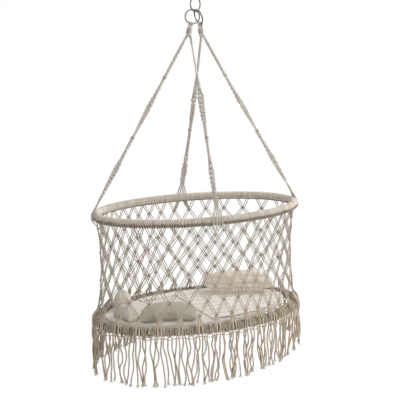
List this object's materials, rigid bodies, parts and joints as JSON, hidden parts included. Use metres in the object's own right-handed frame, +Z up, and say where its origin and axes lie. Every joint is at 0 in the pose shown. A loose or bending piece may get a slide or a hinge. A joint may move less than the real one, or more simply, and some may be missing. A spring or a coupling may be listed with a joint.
{
  "type": "hanging baby cradle",
  "caption": "Oval hanging cradle for a baby: knotted cotton net between two cord-wrapped hoops, cord straps gathered on steel rings, long fringe, and loose bedding.",
  "frame": {"origin": "inner top of the hanging ring, the point where a ceiling hook carries the cradle", "axes": "+Z up; X along the cradle's long way, with the front pillow at -X; -Y is the front"},
  "size_m": [0.8346, 0.4645, 1.3755],
  "materials": {
    "ring_steel": "bright drawn wire, welded and nickel plated",
    "hoop_wood": "steam-bent wood, unfinished",
    "hoop_cord": "twisted cotton cord wound close",
    "strap_cord": "twisted cotton cord, knotted",
    "net_cord": "twisted cotton cord, knotted",
    "fringe_cord": "twisted cotton cord, frayed ends",
    "sheet_cloth": "woven cotton, fine grey lines",
    "quilt_cloth": "soft quilted cotton, fine lines",
    "pillow_cloth": "plain woven cotton, sage",
    "cushion_cloth": "plain woven cotton, sand",
    "bolster_cloth": "plain woven linen",
    "side_pillow_cloth": "plain woven cotton, pale grey"
  },
  "bodies": {
    "hanger": {"hanging_ring": "ring_steel"},
    "strap_rings": {"strap_ring_left": "ring_steel", "strap_ring_right": "ring_steel"},
    "basket": {"cord_loop_left": "strap_cord", "cord_loop_right": "strap_cord", "neck_bundle_left": "strap_cord", "neck_bundle_right": "strap_cord", "neck_binding_left": "strap_cord", "neck_binding_right": "strap_cord", "strap_left": "strap_cord", "strap_front": "strap_cord", "strap_right": "strap_cord", "strap_back": "strap_cord", "strap_cords_left": "strap_cord", "strap_cords_front": "strap_cord", "strap_cords_right": "strap_cord", "strap_cords_back": "strap_cord", "upper_hoop_core": "hoop_wood", "upper_hoop_winding_back_right": "hoop_cord", "upper_hoop_winding_back_left": "hoop_cord", "upper_hoop_winding_front_left": "hoop_cord", "upper_hoop_winding_front_right": "hoop_cord", "lower_hoop_core": "hoop_wood", "lower_hoop_winding_back_right": "hoop_cord", "lower_hoop_winding_back_left": "hoop_cord", "lower_hoop_winding_front_left": "hoop_cord", "lower_hoop_winding_front_right": "hoop_cord", "side_net_01": "net_cord", "side_net_02": "net_cord", "side_net_03": "net_cord", "side_net_04": "net_cord", "side_net_05": "net_cord", "side_net_06": "net_cord", "side_net_07": "net_cord", "side_net_08": "net_cord", "side_net_09": "net_cord", "side_net_10": "net_cord", "side_net_11": "net_cord", "side_net_12": "net_cord", "side_net_13": "net_cord", "side_net_14": "net_cord", "side_net_15": "net_cord", "fringe_01": "fringe_cord", "fringe_02": "fringe_cord", "fringe_03": "fringe_cord", "fringe_04": "fringe_cord", "fringe_05": "fringe_cord", "fringe_06": "fringe_cord", "fringe_07": "fringe_cord", "fringe_08": "fringe_cord", "fringe_09": "fringe_cord", "fringe_10": "fringe_cord", "base_net": "net_cord"},
    "mattress": {"mattress": "sheet_cloth"},
    "quilt": {"quilt": "quilt_cloth"},
    "end_cushion": {"end_cushion": "cushion_cloth"},
    "front_pillow": {"front_pillow": "pillow_cloth"},
    "bolster": {"bolster": "bolster_cloth"},
    "side_pillow": {"side_pillow": "side_pillow_cloth"}
  },
  "joints": [
    {"name": "rings_slide_on_hanging_ring", "type": "hinge", "parent": "hanger", "child": "strap_rings", "pos_m": [0, 0, -0.023], "axis": [-0.5, 0.866, 0], "range_deg": [-12, 12]},
    {"name": "basket_rocks_on_strap_rings", "type": "hinge", "parent": "strap_rings", "child": "basket", "pos_m": [0, 0, -0.0896], "axis": [0.866, 0.5, 0], "range_deg": [-12, 12]},
    {"name": "mattress_lift", "type": "slide", "parent": "basket", "child": "mattress", "axis": [0, 0, 1], "range_m": [0, 0.15]},
    {"name": "quilt_lift", "type": "slide", "parent": "mattress", "child": "quilt", "axis": [0, 0, 1], "range_m": [0, 0.1]},
    {"name": "end_cushion_lift", "type": "slide", "parent": "quilt", "child": "end_cushion", "axis": [0, 0, 1], "range_m": [0, 0.1]},
    {"name": "front_pillow_lift", "type": "slide", "parent": "mattress", "child": "front_pillow", "axis": [0, 0, 1], "range_m": [0, 0.15]},
    {"name": "side_pillow_lift", "type": "slide", "parent": "mattress", "child": "side_pillow", "axis": [0, 0, 1], "range_m": [0, 0.15]},
    {"name": "bolster_lift", "type": "slide", "parent": "mattress", "child": "bolster", "axis": [0, 0, 1], "range_m": [0, 0.15]}
  ]
}
